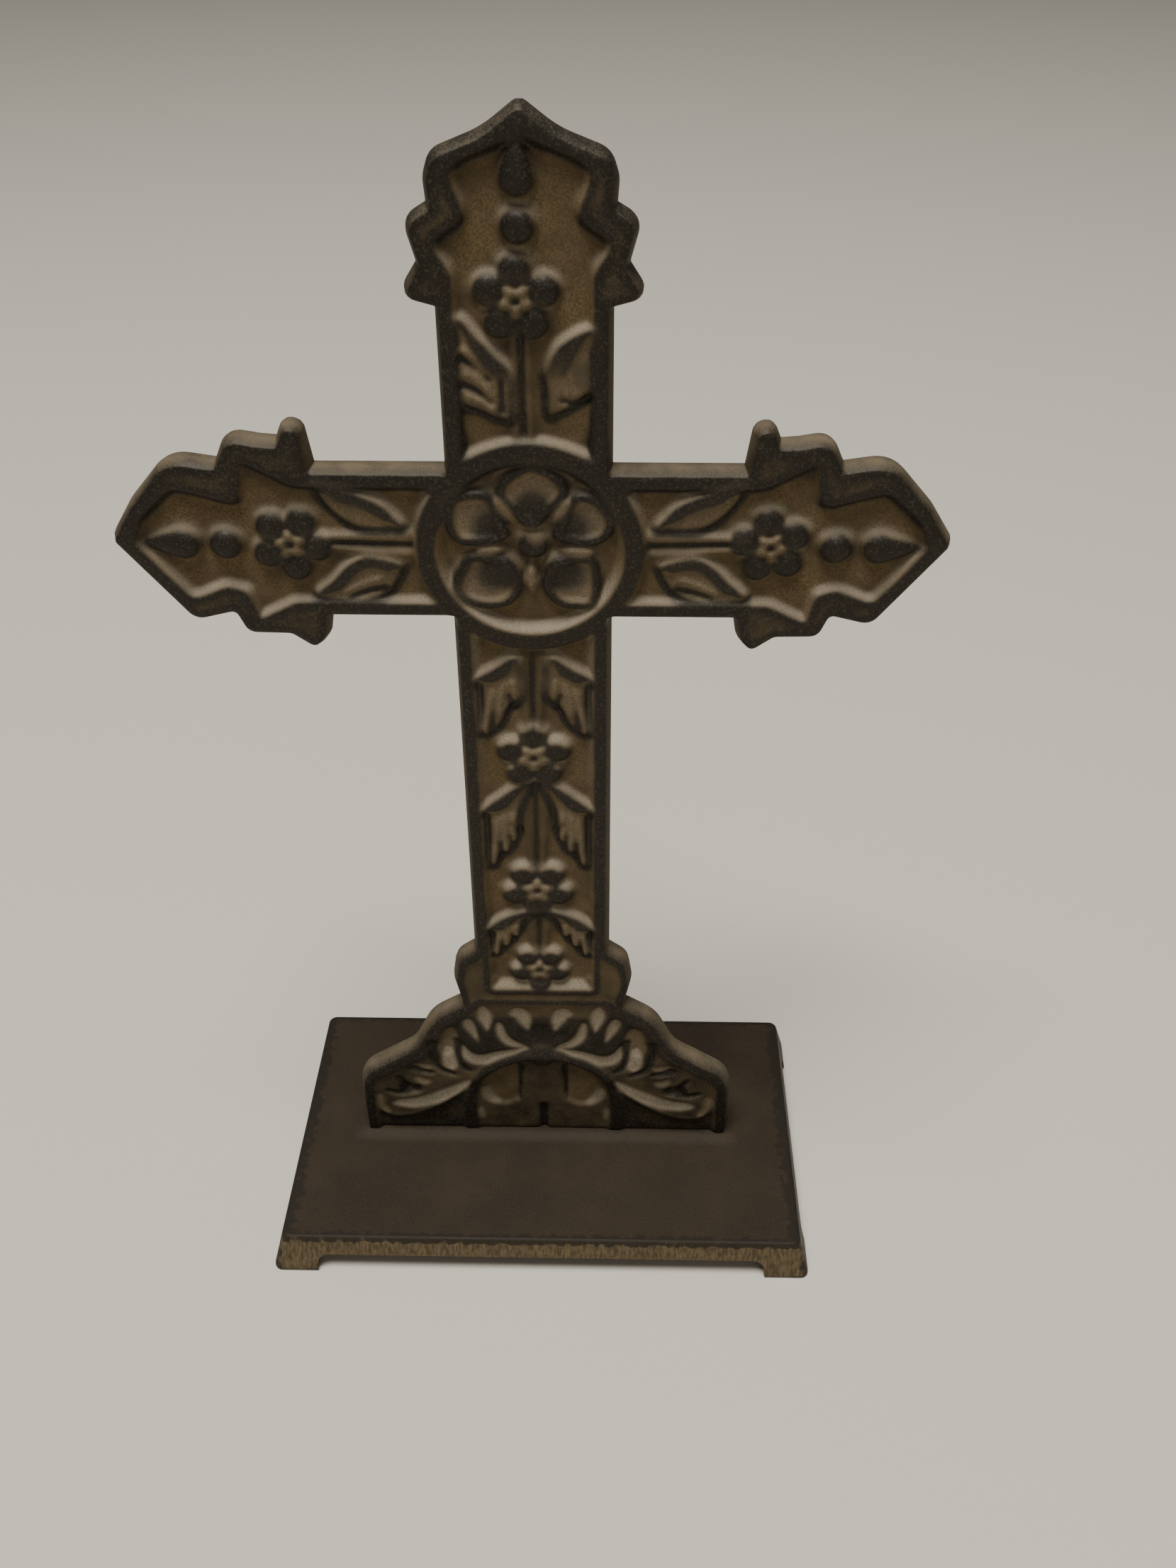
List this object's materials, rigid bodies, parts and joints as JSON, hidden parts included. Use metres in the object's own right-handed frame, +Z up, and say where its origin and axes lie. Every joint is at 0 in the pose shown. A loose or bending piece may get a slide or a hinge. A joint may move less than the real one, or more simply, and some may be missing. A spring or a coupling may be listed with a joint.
{
  "type": "cast iron table cross",
  "caption": "Free-standing cast-iron table cross with floral relief, trefoil-like terminals and a ring at the crossing, on a low rectangular base plate with corner feet.",
  "frame": {"origin": "under the middle of the base plate, on the surface that its feet stand on", "axes": "+X to the right seen from the front, +Y to the back, +Z up; the relief faces -Y"},
  "size_m": [0.1832, 0.0898, 0.2889],
  "materials": {
    "cross_iron": "dark brown-black painted casting, tan rubbed into the sunk ground",
    "base_iron": "dark brown satin casting, worn tan along the edge band"
  },
  "bodies": {
    "root": {"cross": "cross_iron", "base_plate": "base_iron"}
  },
  "joints": []
}
